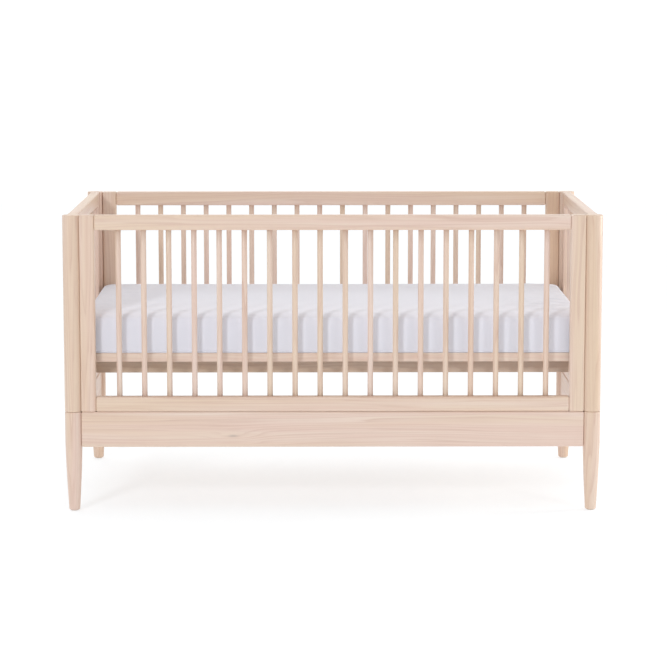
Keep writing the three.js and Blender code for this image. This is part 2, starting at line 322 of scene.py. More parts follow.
def pine_material(name, cream, rose, honey, late):
    """Washed pine: broad soft bands, growth rings that wander along the board, and fine fibres."""
    m = Nodes(name)
    grain = m.attribute("grain")
    # the board's fibres wander a few millimetres sideways over its length
    drift = m.noise(grain, DRIFT_SCALE, 1.5, output="Color")
    drift = m.vectors("MULTIPLY", m.vectors("SUBTRACT", drift, (0.5, 0.5, 0.5)), DRIFT_REACH)
    wandering = m.vectors("ADD", grain, drift)
    # a knot pushes the rings aside, and is a small dark eye itself
    near = m.length(m.vectors("MULTIPLY", m.attribute("knot"), KNOT_STRETCH))
    swell = m.falloff(near, KNOT_REACH)
    eye = m.falloff(near, KNOT_EYE)
    # growth rings round a heart that lies outside the board, close together or far apart
    radius = m.length(m.vectors("MULTIPLY", wandering, RING_STRETCH))
    radius = m.math("MULTIPLY_ADD", swell, KNOT_SWELL, radius)
    spacing = m.math("MULTIPLY", m.noise(wandering, SPACING_SCALE, 2.0, 0.55), SPACING_RINGS)
    ring = m.math("FRACT", m.math("MULTIPLY_ADD", radius, RINGS, spacing))
    late_wood = m.ramp(ring, [(0.0, 0.22), (0.12, 0.0), (0.55, 0.1), (0.84, 0.7), (0.94, 1.0), (1.0, 0.24)])
    marked = m.ramp(m.noise(wandering, MARK_SCALE), [(0.36, 0.3), (0.62, 1.0)])
    late_wood = m.math("MULTIPLY", late_wood, marked)
    rosy = m.ramp(m.noise(wandering, ROSY_SCALE, 2.0, 0.6), [(0.38, 0.0), (0.6, 1.0)])
    warm = m.ramp(m.noise(wandering, WARM_SCALE, 1.0), [(0.42, 0.0), (0.64, 1.0)])
    fibre = m.noise(wandering, FIBRE_SCALE, 3.0, 0.65)
    streak = m.noise(wandering, STREAK_SCALE)

    colour = m.mix(rosy, cream, rose)
    colour = m.mix(m.math("MULTIPLY", warm, WARM_SHARE), colour, honey)
    colour = m.mix(m.math("MULTIPLY", late_wood, LATE_SHARE), colour, late)
    colour = m.mix(m.above(streak, 0.42, STREAK_SHARE), colour, late)
    colour = m.mix(m.above(fibre, 0.4, FIBRE_SHARE), colour, late)
    colour = m.mix(m.math("MULTIPLY", eye, EYE_SHARE), colour, linear(176, 160, 152))
    colour = m.mix(1.0, colour, m.attribute("tint"), "MULTIPLY")
    m.paint(colour, m.math("MULTIPLY_ADD", fibre, 0.14, 0.31))
    m.bump(m.math("MULTIPLY_ADD", late_wood, 0.35, fibre), 0.32, GRAIN_RISE)
    m.plain(Specular_IOR_Level=0.72)
    return m.material


def cotton_material(name, colour, shade):
    """Plain-woven cotton: threads over and under at half a millimetre, slightly uneven."""
    m = Nodes(name)
    where = m.place()
    uneven = m.noise(where, (9.0, 9.0, 9.0), 3.0)
    slub = m.noise(where, (45.0, 700.0, 700.0))
    parts = m.add("ShaderNodeSeparateXYZ", {0: where})
    threads = 2 * math.pi / (0.9 * MM)
    warp, weft, rise = [m.math("SINE", m.math("MULTIPLY", parts.outputs[axis], threads))
                        for axis in range(3)]
    weave = m.math("MULTIPLY", m.math("ADD", warp, rise), weft)
    body = m.mix(m.math("MULTIPLY", uneven, 0.5), colour, shade)
    body = m.mix(m.above(slub, 0.35, 0.25), body, shade)
    m.paint(body, m.math("MULTIPLY_ADD", slub, 0.12, 0.82))
    m.bump(m.math("MULTIPLY_ADD", weave, 0.25, slub), 0.18, 0.0002)
    m.plain(Specular_IOR_Level=0.2, Sheen_Weight=0.12, Sheen_Roughness=0.5)
    return m.material


def steel_material():
    """Zinc-plated steel with the faint lines of the sheet it was cut from."""
    m = Nodes("zinc_plated_steel")
    where = m.place()
    lines = m.noise(where, (30.0, 30.0, 900.0), 3.0)
    cloud = m.noise(where, (60.0, 60.0, 60.0))
    colour = m.mix(cloud, (0.52, 0.53, 0.54), (0.66, 0.66, 0.65))
    m.paint(colour, m.math("MULTIPLY_ADD", lines, 0.25, 0.28))
    m.bump(lines, 0.1, 0.0001)
    m.plain(Metallic=1.0)
    return m.material


def nylon_material():
    """A moulded nylon glide, slightly mottled and scuffed."""
    m = Nodes("moulded_nylon")
    mottle = m.noise(m.place(), (400.0, 400.0, 400.0), 3.0)
    colour = m.mix(mottle, (0.74, 0.71, 0.66), (0.82, 0.8, 0.76))
    m.paint(colour, m.math("MULTIPLY_ADD", mottle, 0.2, 0.4))
    m.bump(mottle, 0.15, 0.0001)
    return m.material


PINE = pine_material("washed_pine", linear(233, 214, 200), linear(229, 204, 190),
                     linear(227, 204, 178), linear(206, 173, 155))
DECK_PINE = pine_material("deck_pine", linear(236, 218, 204), linear(231, 206, 192),
                          linear(230, 210, 186), linear(212, 180, 158))
# The bearers' pine is darker and greyer than the deck's: painted shade for their place under the slats.
BEARER_PINE_PAINTED_SHADE = pine_material("bearer_pine_painted_shade", linear(213, 195, 179), linear(208, 186, 169),
                            linear(205, 184, 161), linear(186, 161, 141))
COTTON = cotton_material("sheet_cotton", linear(230, 231, 240), linear(223, 224, 235))
TICKING = cotton_material("mattress_ticking", linear(232, 232, 234), linear(220, 220, 224))
STEEL = steel_material()
NYLON = nylon_material()


# ---- Mesh building ----

AXES = {  # the board's across, up and along directions, right-handed
    "X": (Vector((0, 1, 0)), Vector((0, 0, 1)), Vector((1, 0, 0))),
    "Y": (Vector((0, 0, 1)), Vector((1, 0, 0)), Vector((0, 1, 0))),
    "Z": (Vector((1, 0, 0)), Vector((0, 1, 0)), Vector((0, 0, 1))),
}
grain_seed = random.Random(41)


def loft(rings):
    """The vertices and faces of a closed skin through equal rings, with a cap at each end."""
    count = len(rings[0])
    verts = [point for ring in rings for point in ring]
    faces = []
    for level in range(len(rings) - 1):
        low, high = level * count, (level + 1) * count
        for i in range(count):
            j = (i + 1) % count
            faces.append((low + i, low + j, high + j, high + i))
    faces.append(tuple(range(count - 1, -1, -1)))
    faces.append(tuple(range(len(verts) - count, len(verts))))
    return verts, faces


def make(name, skin, material, body, replaced=()):
    """A piece from its (vertices, faces), smooth but for its hard edges, riding on a body."""
    mesh = bpy.data.meshes.new(name)
    mesh.from_pydata([tuple(v) for v in skin[0]], [], skin[1])
    mesh.validate()
    mesh.materials.append(material)
    mesh.shade_smooth()
    piece = bpy.data.objects.new(name, mesh)
    bpy.context.scene.collection.objects.link(piece)
    crisp = piece.modifiers.new("weighted_normals", "WEIGHTED_NORMAL")
    crisp.keep_sharp = True
    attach(piece, body)
    if replaced:
        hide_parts(*replaced)
    return piece


def frame_wood(name, skin, replaced):
    return make(name + "_wood", skin, PINE, FRAME, replaced)


def add_grain(piece, along, tone, heart=BOARD_HEART, turn=None, knot=NO_KNOT, blushing=1.0):
    """Writes how each vertex lies in its board, and the board's tint from its tone and blush, where the
    tone carries some painted light and shade.

    grain is the place across and along the board, from a heart outside it; knot is the place from
    the board's knot, given as (across, up, along) from its middle, and far off where it has none.
    """
    across, up, length = AXES[along]
    drawn_turn = grain_seed.uniform(0, 2 * math.pi)
    turn = drawn_turn if turn is None else turn
    away = heart * grain_seed.uniform(*HEART_SPREAD)
    cut = grain_seed.uniform(-CUT_SPREAD, CUT_SPREAD)
    shift = Vector((away * math.cos(turn), away * math.sin(turn), cut))
    coordinates = [v.co for v in piece.data.vertices]
    low = Vector([min(c[i] for c in coordinates) for i in range(3)])
    high = Vector([max(c[i] for c in coordinates) for i in range(3)])
    middle = (low + high) / 2
    grain, from_knot = [], []
    for co in coordinates:
        local = Vector(((co - middle).dot(across), (co - middle).dot(up), (co - middle).dot(length)))
        grain.extend(local + shift)
        from_knot.extend(local - Vector(knot))
    tone = min(1.0, max(0.0, tone + grain_seed.uniform(-TONE_SPREAD, TONE_SPREAD)))
    blush = blushing * grain_seed.uniform(*BLUSH_SPREAD)
    tint = [aged ** tone * (1 - pink * blush) for aged, pink in zip(AGED, BLUSH)]
    write_layer(piece.data, "grain", grain)
    write_layer(piece.data, "knot", from_knot)
    write_layer(piece.data, "tint", tint * len(coordinates))
    return piece


def evaluated_mesh(piece):
    """A piece's mesh with its modifiers worked in."""
    graph = bpy.context.evaluated_depsgraph_get()
    return bpy.data.meshes.new_from_object(piece.evaluated_get(graph), depsgraph=graph)


def write_layer(mesh, name, values):
    mesh.attributes.new(name, "FLOAT_VECTOR", "POINT").data.foreach_set("vector", values)


def easing(radius, steps=EDGE_STEPS):
    """(inset, depth) pairs across an arris, from the end face to the flank."""
    power = 2 / ARRIS_FULLNESS
    turns = [math.pi / 2 * step / steps for step in range(steps + 1)]
    return [(radius * (1 - math.sin(a) ** power), radius * (1 - math.cos(a) ** power))
            for a in turns]


def plain_end(reach, half, radius, inset):
    """One end of a board's plan, from its -v face round to its +v face, with eased corners."""
    corner = max(radius - inset, LEAST_CORNER)
    end, face = reach - inset, half - inset
    upper = [(end - set_in, face - drop) for set_in, drop in easing(corner)[::-1]]
    lower = [(u, -v) for u, v in upper]
    return lower[::-1] + upper


def coped_end(centre, cope, half, radius, inset):
    """One end of a board's plan that is hollowed to fit a round post centred at (centre, 0)."""
    face, cope = half - inset, cope + inset
    corner = max(radius - inset, LEAST_CORNER)
    lip = face - corner
    u_face = centre - math.sqrt(cope * cope - face * face) - corner
    u_lip = centre - math.sqrt(cope * cope - lip * lip)
    upper = [(u_lip + (u_face - u_lip) * drop, lip + corner * (1 - set_in))
             for set_in, drop in easing(1.0)]
    lower = [(u, -v) for u, v in upper[::-1]]
    hollow = []
    for step in range(1, COPE_STEPS):
        v = -lip + 2 * lip * step / COPE_STEPS
        hollow.append((centre - math.sqrt(cope * cope - v * v), v))
    return lower + hollow + upper


def prism(ends, span, edge):
    """Rings of a board from its plan: ends(inset) gives the plan's two end point lists."""
    low, high = span
    rings = [(low + depth, ends(inset)) for inset, depth in easing(edge)]
    rings += [(high - depth, ends(inset)) for inset, depth in reversed(easing(edge))]
    return [[(u, v, z) for u, v in right + [(-a, -b) for a, b in left]]
            for z, (right, left) in rings]


def turned_rings(profile, centre, sides):
    """Rings of a turned piece from its (radius, height) profile."""
    turns = [2 * math.pi * i / sides for i in range(sides)]
    return [[(centre.x + r * math.cos(a), centre.y + r * math.sin(a), z) for a in turns]
            for r, z in profile]


def placed(rings, origin, quarter_turn=False):
    """Puts rings drawn along X about the origin in their place, or turned to lie along Y."""
    turn = Matrix.Rotation(math.pi / 2 if quarter_turn else 0.0, 4, "Z")
    move = Matrix.Translation(origin) @ turn
    return [[move @ Vector(point) for point in ring] for ring in rings]


def circle(radius, z):
    turns = [2 * math.pi * i / BOLT_SIDES for i in range(BOLT_SIDES)]
    return [(radius * math.cos(a), radius * math.sin(a), z) for a in turns]


def turned_to(skin, place, direction):
    """Turns a piece drawn up the Z axis to face a direction, and puts it in its place."""
    verts, faces = skin
    turn = direction.to_track_quat("Z", "Y").to_matrix()
    return [place + turn @ Vector(v) for v in verts], faces


# ---- What the frame says ----

def centre_of(node):
    low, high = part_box(node)
    return (low + high) / 2


def size_of(node):
    low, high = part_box(node)
    return high - low


def heights_of(node):
    low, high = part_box(node)
    return low.z, high.z


post_low, post_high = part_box("front_left_post")
post_radius = (post_high.x - post_low.x) / 2
corner_x = abs(centre_of("front_left_post").x)
corner_y = abs(centre_of("front_left_post").y)
joint_z = post_low.z
crib_top = post_high.z
half_board = size_of("front_top_rail").y / 2
opening_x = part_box("front_right_stile")[0].x
opening_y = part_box("right_end_rear_stile")[0].y
cope_radius = post_radius + TOUCH_GAP
TOP_RAIL = heights_of("front_top_rail")
BOTTOM_RAIL = heights_of("front_bottom_rail")
APRON = heights_of("front_apron")
APRON_TURN = math.radians(75)
APRON_KNOT = (-half_board, -0.017, -0.26)
spindle_radius = size_of("front_spindle_01").x / 2
front_spindles = sorted(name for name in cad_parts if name.startswith("front_spindle_"))
mattress_low, mattress_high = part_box("mattress")
mattress_half = (mattress_high - mattress_low) / 2
mattress_middle = (mattress_high + mattress_low) / 2


def bar_places(node, axis):
    """Where the round bars of a joined grid stand, read from the tops of its bars."""
    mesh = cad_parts[node].data
    top = max(v.co.z for v in mesh.vertices)
    places = sorted(v.co[axis] for v in mesh.vertices if v.co.z > top - MM)
    groups = [[places[0]]]
    for place in places[1:]:
        if place - groups[-1][-1] > spindle_radius:
            groups.append([])
        groups[-1].append(place)
    return [(group[0] + group[-1]) / 2 for group in groups]


def slab_places(node, axis):
    """(low, high) of each slat of a deck, read from its top face."""
    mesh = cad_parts[node].data
    top = max(v.co.z for v in mesh.vertices)
    places = sorted({round(v.co[axis], 5) for v in mesh.vertices if v.co.z > top - 0.1 * MM})
    return list(zip(places[::2], places[1::2]))


def levels(node, axis):
    """The distinct places along an axis that a node's vertices have, to a tenth of a millimetre."""
    places = sorted(v.co[axis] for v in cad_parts[node].data.vertices)
    kept = [places[0]]
    for place in places:
        if place - kept[-1] > 0.1 * MM:
            kept.append(place)
    return kept


# ---- Wooden pieces ----

def stile(name, tone, reach, opening, origin, hand, quarter_turn, drilled=()):
    """A flat upright, eased towards the opening and hollowed towards its round post."""
    def ends(inset):
        post_end = coped_end(reach, cope_radius, half_board, BOARD_EDGE, inset)
        free_end = plain_end(-opening, half_board, BOARD_EDGE, inset)
        return post_end, free_end
    rings = prism(ends, (joint_z, crib_top), STILE_END_EDGE)
    if hand < 0:
        rings = [[(-x, -y, z) for x, y, z in ring] for ring in rings]
    piece = frame_wood(name, loft(placed(rings, origin, quarter_turn)), [name])
    for place, direction in drilled:
        drill(piece, place, direction)
    return add_grain(piece, "Z", tone)


def drill(piece, place, direction):
    """Bores a blind hole for a threaded insert into a board's face."""
    skin = loft([circle(INSERT_RADIUS + HOLE_CLEARANCE, z) for z in (-INSERT_DEPTH, CUT_PAST)])
    verts, faces = turned_to(skin, place, direction)
    mesh = bpy.data.meshes.new("cutter")
    mesh.from_pydata(verts, [], faces)
    cutter = bpy.data.objects.new("cutter", mesh)
    bpy.context.scene.collection.objects.link(cutter)
    cut = piece.modifiers.new("bore", "BOOLEAN")
    cut.operation, cut.solver, cut.object = "DIFFERENCE", "EXACT", cutter
    crisp = piece.modifiers["weighted_normals"]
    crisp.show_viewport = False
    bored = evaluated_mesh(piece)
    crisp.show_viewport = True
    piece.modifiers.remove(cut)
    piece.data = bored
    piece.data.set_sharp_from_angle(angle=HOLE_CREASE)
    bpy.data.objects.remove(cutter)


def rail(name, tone, opening, span, origin, quarter_turn, replaced):
    """A board between two stiles, eased all round."""
    def ends(inset):
        end = plain_end(opening - TOUCH_GAP, half_board, RAIL_END_EDGE, inset)
        return end, end
    rings = prism(ends, span, BOARD_EDGE)
    piece = frame_wood(name, loft(placed(rings, origin, quarter_turn)), [replaced])
    return add_grain(piece, "Y" if quarter_turn else "X", tone)


def apron(name, tone, reach, origin, quarter_turn, turn=None, knot=NO_KNOT):
    """An apron board, hollowed to the legs at both ends."""
    def ends(inset):
        end = coped_end(reach, cope_radius, half_board, BOARD_EDGE, inset)
        return end, end
    rings = prism(ends, APRON, BOARD_EDGE)
    piece = frame_wood(name, loft(placed(rings, origin, quarter_turn)), [name])
    return add_grain(piece, "Y" if quarter_turn else "X", tone, APRON_HEART, turn, knot)


def spindle(name, tone, x, y, replaced=()):
    """A round dowel let into the rails above and below it."""
    low, high = BOTTOM_RAIL[1] - SPINDLE_ENTRY, TOP_RAIL[0] + SPINDLE_ENTRY
    span = high - low
    profile = [(spindle_radius, low + span * step / SPINDLE_LEVELS)
               for step in range(SPINDLE_LEVELS + 1)]
    rings = turned_rings(profile, Vector((x, y, 0)), SPINDLE_SIDES)
    piece = frame_wood(name, loft(rings), replaced)
    return add_grain(piece, "Z", tone, SPINDLE_HEART, blushing=SPINDLE_BLUSH)


def post(corner, tone):
    """A turned corner post with small eased ends."""
    name = corner + "_post"
    low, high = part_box(name)
    profile = [(post_radius - inset, low.z + depth) for inset, depth in easing(POST_EDGE)]
    profile += [(post_radius - inset, high.z - depth) for inset, depth in easing(POST_EDGE)[::-1]]
    piece = frame_wood(name, loft(turned_rings(profile, centre_of(name), POST_SIDES)), [name])
    return add_grain(piece, "Z", tone, POST_HEART)


def leg_profile(node):
    """The taper of a leg, as (height, radius) pairs read from the leg's own CAD solid."""
    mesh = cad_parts[node].data
    centre = centre_of(node)
    widest = {}
    for v in mesh.vertices:
        height = round(v.co.z, 4)
        out = math.hypot(v.co.x - centre.x, v.co.y - centre.y)
        widest[height] = max(widest.get(height, 0.0), out)
    narrowest = 0.45 * post_radius  # points nearer the middle are on its end faces or its tenon
    tapered = 1.1 * APRON[0]  # the taper ends a little over the apron's bottom
    return sorted((z, out) for z, out in widest.items() if out > narrowest and z < tapered)


def leg(corner, tone):
    """A tapered turned leg with a rounded foot."""
    name = corner + "_leg"
    points = leg_profile(name)
    foot_z = points[0][0]
    taper = [p for p in points if p[0] > foot_z + 1.5 * MM]  # the CAD foot's own edge left out
    bottom_z, foot_radius = taper[0]
    rise = taper[-1][0] - bottom_z
    profile = [(foot_radius - inset, foot_z + depth) for inset, depth in easing(FOOT_EDGE)]
    for step in range(LEG_LEVELS + 1):
        z = bottom_z + rise * step / LEG_LEVELS
        profile.append((smooth_between(taper, z), z))
    top = joint_z - TOUCH_GAP
    profile += [(post_radius - inset, top - depth) for inset, depth in easing(POST_EDGE)[::-1]]
    piece = frame_wood(name, loft(turned_rings(profile, centre_of(name), POST_SIDES)), [name])
    return add_grain(piece, "Z", tone, POST_HEART)


def smooth_between(points, z):
    """The radius at height z on the smooth curve through a list of (height, radius)."""
    for i in range(len(points) - 1):
        if points[i][0] <= z <= points[i + 1][0] + 1e-9:
            break
    before, after = points[max(i - 1, 0)], points[min(i + 2, len(points) - 1)]
    (z0, r0), (z1, r1) = points[i], points[i + 1]
    t = (z - z0) / (z1 - z0)
    slope0 = (r1 - before[1]) / max(z1 - before[0], 1e-9) * (z1 - z0)
    slope1 = (after[1] - r0) / max(after[0] - z0, 1e-9) * (z1 - z0)
    h00, h10 = 2 * t**3 - 3 * t**2 + 1, t**3 - 2 * t**2 + t
    h01, h11 = -2 * t**3 + 3 * t**2, t**3 - t**2
    return h00 * r0 + h10 * slope0 + h01 * r1 + h11 * slope1


def glide(corner):
    """A nylon disc under the foot, with a domed rim."""
    name = corner + "_glide"
    low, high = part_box(name)
    radius = (high.x - low.x) / 2
    profile = [(radius - inset, low.z + depth) for inset, depth in easing(GLIDE_EDGE)]
    profile += [(radius, high.z)]
    skin = loft(turned_rings(profile, centre_of(name), GLIDE_SIDES))
    return make(name + "_disc", skin, NYLON, FRAME, [name])


def steel_piece(name, skin, place, direction, body):
    piece = make(name, turned_to(skin, place, direction), STEEL, body)
    piece.data.set_sharp_from_angle(angle=METAL_CREASE)
    return piece


def threaded_insert(name, place, direction):
    """A steel insert in a bored hole: a flat rim outside, and thread turns inside."""
    bottom = HOLE_FLOOR - INSERT_DEPTH
    profile = [(INSERT_BORE + THREAD_DEPTH, INSERT_PROUD),
               (INSERT_RADIUS - INSERT_CHAMFER, INSERT_PROUD),
               (INSERT_RADIUS, INSERT_PROUD - INSERT_CHAMFER),
               (INSERT_RADIUS, bottom), (INSERT_BORE, bottom)]
    pitch = (INSERT_DEPTH - 2 * HOLE_FLOOR) / INSERT_THREADS
    for turn in range(INSERT_THREADS):
        z = bottom + pitch * (turn + 0.5)
        profile += [(INSERT_BORE + THREAD_DEPTH, z), (INSERT_BORE, z + pitch / 2)]
    count = len(profile)
    verts = [point for radius, z in profile for point in circle(radius, z)]
    faces = []
    for level in range(count):
        low, high = level * BOLT_SIDES, (level + 1) % count * BOLT_SIDES
        for i in range(BOLT_SIDES):
            j = (i + 1) % BOLT_SIDES
            faces.append((low + j, low + i, high + i, high + j))
    return steel_piece(name, (verts, faces), place, direction, FRAME)


def bolt_place(corner, face):
    """The middle of a corner's bolt, on a face that lies across Y."""
    low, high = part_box(corner + "_bracket")
    return Vector(((low.x + high.x) / 2, face, high.z - HOLE_DROP))


def spare_settings(corner):
    """The place and direction of the two lower bolt holes beside a corner's bracket."""
    along = CORNERS[corner][1]
    top = bolt_place(corner, along * (corner_y - half_board))
    return [(top - Vector((0, 0, step * SETTING_STEP)), Vector((0, -along, 0))) for step in (1, 2)]


def build_side(side, along):
    """A long side of the crib: two stiles with their spare settings, two rails and the spindles."""
    tone = SIDE_TONES[side]
    origin = Vector((0, along * corner_y, 0))
    for hand, word in ((-1, "left"), (1, "right")):
        corner = f"{side}_{word}"
        holes = spare_settings(corner)
        stile(f"{corner}_stile", STILE_TONES[corner], corner_x, opening_x, origin, hand, False, holes)
        for i, (place, direction) in enumerate(holes, 1):
            threaded_insert(f"{corner}_insert_{i}", place, direction)
    rail(f"{side}_top_rail", tone, opening_x, TOP_RAIL, origin, False, f"{side}_top_rail")
    if side == "front":
        sill = "front_bottom_rail"
        places = [centre_of(name).x for name in front_spindles]
    else:
        sill = "rear_spindle_grid"
        places = bar_places(sill, 0)
    rail(f"{side}_bottom_rail", tone + SILL_TONE, opening_x, BOTTOM_RAIL, origin, False, sill)
    for i, x in enumerate(places, 1):
        own = front_spindles[i - 1:i] if side == "front" else []
        spindle(f"{side}_spindle_{i:02d}", tone, x, along * corner_y, own)


def build_end(end, across):
    """A short end of the crib: two stiles, two rails, the spindles and an apron."""
    grid = f"{end}_end_spindle_grid"
    origin = Vector((across * corner_x, 0, 0))
    for hand, word in ((-1, "front"), (1, "rear")):
        stile(f"{end}_end_{word}_stile", END_TONE, corner_y, opening_y, origin, hand, True)
    top_rail = f"{end}_end_top_rail"
    rail(top_rail, END_TOP_TONE, opening_y, TOP_RAIL, origin, True, top_rail)
    rail(f"{end}_end_bottom_rail", END_SILL_TONE, opening_y, BOTTOM_RAIL, origin, True, grid)
    for i, y in enumerate(bar_places(grid, 1), 1):
        spindle(f"{end}_end_spindle_{i:02d}", END_TONE, across * corner_x, y)
    apron(f"{end}_end_apron", END_TONE, corner_y, origin, True)


def build_frame():
    """The posts, legs and glides, then the sides and ends between them."""
    for corner, (_, along) in CORNERS.items():
        tone = FRONT_TONE if along < 0 else REAR_TONE
        post(corner, RIGHT_POST_PAINTED_SHADE_TONE if corner == "front_right" else tone)
        leg(corner, tone)
        glide(corner)
    build_side("front", -1)
    build_side("rear", 1)
    build_end("left", -1)
    build_end("right", 1)
    apron("front_apron", APRON_TONE, corner_x, Vector((0, -corner_y, 0)), False,
          APRON_TURN, APRON_KNOT)


build_frame()


# ---- Mattress support ----

def bevelled(mesh, width):
    """Eases every edge of a mesh that turns by more than 30 degrees."""
    bm = bmesh.new()
    bm.from_mesh(mesh)
    bmesh.ops.recalc_face_normals(bm, faces=bm.faces)
    sharp = [e for e in bm.edges if len(e.link_faces) == 2 and e.calc_face_angle() > math.pi / 6]
    bmesh.ops.bevel(bm, geom=sharp, offset=width, segments=SLAT_EDGE_STEPS, profile=0.5,
                    affect="EDGES")
    bm.to_mesh(mesh)
    bm.free()
    mesh.shade_smooth()


def extrusion(outline, along, low, high):
    """A closed outline in the two directions across an axis, drawn out along it."""
    across, up, length = AXES[along]
    rings = [[across * a + up * b + length * place for a, b in outline] for place in (low, high)]
    return loft(rings)


def deck_board(name, outline, along, span, tone, replaced, material=DECK_PINE):
    """A board of the mattress support, from its section across an axis and its span along it."""
    piece = make(name, extrusion(outline, along, *span), material, SUPPORT, [replaced])
    bevelled(piece.data, SLAT_EDGE)
    return add_grain(piece, along, tone)


def rectangle(a, b):
    (x0, x1), (y0, y1) = a, b
    return [(x0, y0), (x1, y0), (x1, y1), (x0, y1)]


def build_support():
    """The two ledged side rails, the two end rails, the slats and the two bearers under them."""
    deck_low, deck_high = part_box("slat_deck")
    ledge_top = levels("support_front_rail", 2)[2]  # a little under the CAD's ledge
    ledge = deck_high.y + TOUCH_GAP
    for side, out in (("front", -1), ("rear", 1)):
        node = f"support_{side}_rail"
        low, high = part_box(node)
        outer = max(abs(low.y), abs(high.y))
        inner = min(abs(low.y), abs(high.y))
        outline = [(outer, low.z), (outer, high.z), (ledge, high.z), (ledge, ledge_top),
                   (inner, ledge_top), (inner, low.z)]
        if out < 0:
            outline = [(-a, b) for a, b in outline[::-1]]
        deck_board(node + "_wood", outline, "X", (low.x, high.x), SUPPORT_SIDE_TONE, node)
    for side in ("left", "right"):
        node = f"support_{side}_rail"
        low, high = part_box(node)
        outline = rectangle((low.z, high.z), (low.x, high.x))
        deck_board(node + "_wood", outline, "Y", (low.y, high.y), SUPPORT_END_TONE, node)
    slat_bottom = levels("slat_deck", 2)[1]
    for i, slat in enumerate(slab_places("slat_deck", 0), 1):
        outline = rectangle((slat_bottom, deck_high.z), slat)
        deck_board(f"slat_{i:02d}", outline, "Y", (deck_low.y, deck_high.y), SLAT_TONE, "slat_deck")
    bearer_y = levels("slat_deck", 1)[1:-1]
    for word, across in (("front", bearer_y[:2]), ("rear", bearer_y[2:])):
        outline = rectangle(across, (deck_low.z, slat_bottom - TOUCH_GAP / 2))
        deck_board(f"{word}_bearer", outline, "X", (deck_low.x, deck_high.x), BEARER_TONE,
                   "slat_deck", BEARER_PINE_PAINTED_SHADE)


def hexagon(radius, z):
    """A hexagon with as many points as a bolt's circles, its flats worked out from their turn."""
    flat = math.cos(math.pi / 6)
    ring = []
    for i in range(BOLT_SIDES):
        a = 2 * math.pi * i / BOLT_SIDES
        off = (a + math.pi / 6) % (math.pi / 3) - math.pi / 6
        r = radius * flat / math.cos(off)
        ring.append((r * math.cos(a), r * math.sin(a), z))
    return ring


def bolt(name, place, direction):
    """A button-head bolt with a hexagon socket, on a washer."""
    rim = WASHER_HEIGHT + BOLT_RIM
    top = WASHER_HEIGHT + BOLT_HEAD_HEIGHT
    rings = [circle(WASHER_RADIUS, 0),
             circle(WASHER_RADIUS, WASHER_FLANK),
             circle(WASHER_RADIUS - WASHER_EDGE, WASHER_HEIGHT),
             circle(BOLT_HEAD_RADIUS, WASHER_HEIGHT),
             circle(BOLT_HEAD_RADIUS, rim)]
    for step in range(1, DOME_STEPS + 1):
        a = math.pi / 2 * step / DOME_STEPS
        r = DOME_TOP_RADIUS + (BOLT_HEAD_RADIUS - DOME_TOP_RADIUS) * math.cos(a)
        rings.append(circle(r, rim + (BOLT_HEAD_HEIGHT - BOLT_RIM) * math.sin(a)))
    rings.append(hexagon(SOCKET_RADIUS, top))
    rings.append(hexagon(SOCKET_RADIUS * SOCKET_TAPER, top - SOCKET_DEPTH))
    return steel_piece(name, loft(rings), place, direction, SUPPORT)


def build_brackets():
    """Gives the CAD brackets their steel and eased edges, and each its bolt."""
    for corner, (_, along) in CORNERS.items():
        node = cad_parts[corner + "_bracket"]
        node.data.materials.clear()
        node.data.materials.append(STEEL)
        bevel = node.modifiers.new("eased_edges", "BEVEL")
        bevel.width, bevel.segments, bevel.limit_method = BRACKET_EDGE, 2, "ANGLE"
        inner_face = sorted(abs(y) for y in levels(corner + "_bracket", 1))[1]
        bolt(corner + "_bolt", bolt_place(corner, along * inner_face), Vector((0, -along, 0)))


build_support()
build_brackets()


# ---- Mattress ----

def plan_ring(half_x, half_y, corner, z, steps=PLAN_CORNER_STEPS):
    """A rectangle with round corners, as a ring of points at height z."""
    points = []
    for quarter, (sx, sy) in enumerate(((1, 1), (-1, 1), (-1, -1), (1, -1))):
        for step in range(steps + 1):
            a = math.pi / 2 * (quarter + step / steps)
            points.append((sx * (half_x - corner) + corner * math.cos(a),
                           sy * (half_y - corner) + corner * math.sin(a), z))
    return points


def apply_modifiers(piece):
    """Bakes a piece's modifiers into its mesh."""
    mesh = evaluated_mesh(piece)
    piece.modifiers.clear()
    piece.data = mesh


def slab(name, inset, voxel, material):
    """A slab that fills the mattress's place: rounded over at the top, crisp at the bottom."""
    half, middle = mattress_half, mattress_middle
    bottom = [(step, inset + depth) for step, depth in easing(BOTTOM_EDGE, ROLL_STEPS)]
    top = [(step, 2 * half.z - inset - depth)
           for step, depth in reversed(easing(TOP_EDGE, ROLL_STEPS))]
    rings = []
    for step, height in bottom + top:
        corner = max(PLAN_CORNER - inset - step * CORNER_SHRINK, LEAST_PLAN_CORNER)
        ring = plan_ring(half.x - inset - step, half.y - inset - step, corner,
                         mattress_low.z + height)
        rings.append([(x + middle.x, y + middle.y, z) for x, y, z in ring])
    piece = make(name, loft(rings), material, MATTRESS)
    piece.modifiers.clear()
    remesh = piece.modifiers.new("even_mesh", "REMESH")
    remesh.mode, remesh.voxel_size, remesh.use_smooth_shade = "VOXEL", voxel, True
    apply_modifiers(piece)
    for v in piece.data.vertices:
        x, y, z = v.co - middle
        from_edge = min(half.x - abs(x), half.y - abs(y))
        inside = max(0.0, min(from_edge / CROWN_REACH, 1.0))
        fall = (1 - inside) ** 2
        v.co.z -= CROWN_DROP * fall * max(0.0, z / half.z)
    return piece


def weights(piece, name, value):
    """A vertex group whose weights are value(x, y, z), from the mattress's middle and underside."""
    group = piece.vertex_groups.new(name=name)
    for v in piece.data.vertices:
        weight = value(v.co.x - mattress_middle.x, v.co.y - mattress_middle.y,
                       v.co.z - mattress_low.z)
        if weight > 0.001:
            group.add([v.index], min(1.0, weight), "REPLACE")


def pinned(x, y, z):
    """The sheet is held all round its hem."""
    return 1.0 if z < PINNED_HEIGHT else 0.0


